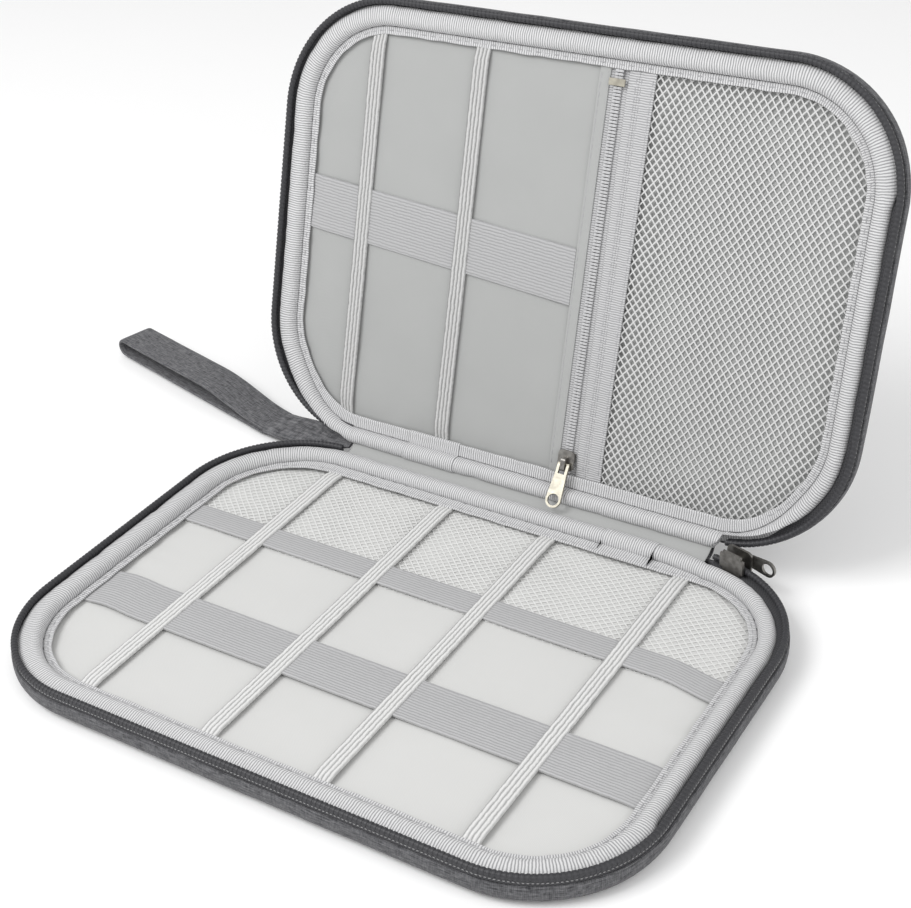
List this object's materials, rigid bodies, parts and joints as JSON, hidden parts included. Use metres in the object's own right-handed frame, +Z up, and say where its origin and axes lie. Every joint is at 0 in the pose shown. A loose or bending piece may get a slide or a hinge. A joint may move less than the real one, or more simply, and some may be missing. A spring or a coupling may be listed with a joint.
{
  "type": "zippered organizer pouch",
  "caption": "Flat zip-round cable organizer pouch, lid open, with elastic straps, mesh pockets, a zipped inner pocket and a wrist strap.",
  "frame": {"origin": "centre of the base tray's underside, on the table", "axes": "+Z up, +X along the spine to the right as seen from the free edge, +Y toward the spine"},
  "size_m": [0.3435, 0.2285, 0.1726],
  "materials": {
    "melange": "heathered woven, matte",
    "tape": "woven, matte",
    "coil": "nylon, slight sheen",
    "binding": "ribbed grosgrain",
    "lining": "smooth, matte",
    "band": "fine ribbed elastic",
    "strap": "braided elastic",
    "mesh": "open knit mesh",
    "pale_coil": "nylon",
    "foam": "closed-cell foam",
    "metal": "plated zinc"
  },
  "bodies": {
    "base": {"base_cover": "melange", "base_foam_board": "foam", "base_lining": "lining", "base_zipper_tape": "tape", "base_zipper_coil": "coil", "base_binding": "binding", "base_wide_elastic": "band", "base_mesh_pocket": "mesh", "base_mesh_elastic": "band", "base_strap_1": "strap", "base_strap_2": "strap", "base_strap_3": "strap", "base_strap_4": "strap", "spine_cover": "melange", "spine_lining": "lining"},
    "lid": {"lid_cover": "melange", "lid_foam_board": "foam", "lid_lining": "lining", "lid_zipper_tape": "tape", "lid_zipper_coil": "coil", "lid_binding": "binding", "lid_pocket_panel": "lining", "lid_mesh_panel": "mesh", "lid_wide_elastic": "band", "lid_strap_left": "strap", "lid_strap_right": "strap", "pocket_flap": "lining", "pocket_tape_left": "lining", "pocket_tape_right": "lining", "pocket_coil_left": "pale_coil", "pocket_coil_right": "pale_coil", "pocket_ribbon_inner": "binding", "pocket_ribbon_outer": "binding", "pocket_stop": "metal"},
    "pocket_slider": {"pocket_slider": "metal"},
    "pocket_pull": {"pocket_pull": "metal"},
    "main_slider": {"main_slider": "metal"},
    "main_pull": {"main_pull": "metal"},
    "wrist_strap": {"wrist_strap_tail": "melange", "wrist_strap_loop": "melange"}
  },
  "joints": [
    {"name": "lid_hinge", "type": "hinge", "parent": "base", "child": "lid", "pos_m": [0, 0.0845, 0.0125], "axis": [-1, 0, 0], "range_deg": [-107, 73], "deforming": ["spine_cover", "spine_lining", "wrist_strap_tail"]},
    {"name": "pocket_slider_travel", "type": "slide", "parent": "lid", "child": "pocket_slider", "axis": [0, 0.2924, 0.9563], "range_m": [0, 0.13]},
    {"name": "pocket_pull_swing", "type": "hinge", "parent": "pocket_slider", "child": "pocket_pull", "pos_m": [0.015, 0.09119, 0.02499], "axis": [1, 0, 0], "range_deg": [-134, 8]},
    {"name": "main_slider_travel", "type": "hinge", "parent": "base", "child": "main_slider", "pos_m": [0.076, 0.04, 0.0125], "axis": [0, 0, -1], "range_deg": [0, 65]},
    {"name": "main_pull_swing", "type": "hinge", "parent": "main_slider", "child": "main_pull", "pos_m": [0.08787, 0.08432, 0.0125], "axis": [0, 0, 1], "range_deg": [0, 40]},
    {"name": "wrist_strap_swing", "type": "hinge", "parent": "base", "child": "wrist_strap", "pos_m": [-0.077, 0.0863, 0.0108], "axis": [0, 0, 1], "range_deg": [-60, 25], "deforming": ["wrist_strap_tail"]}
  ]
}
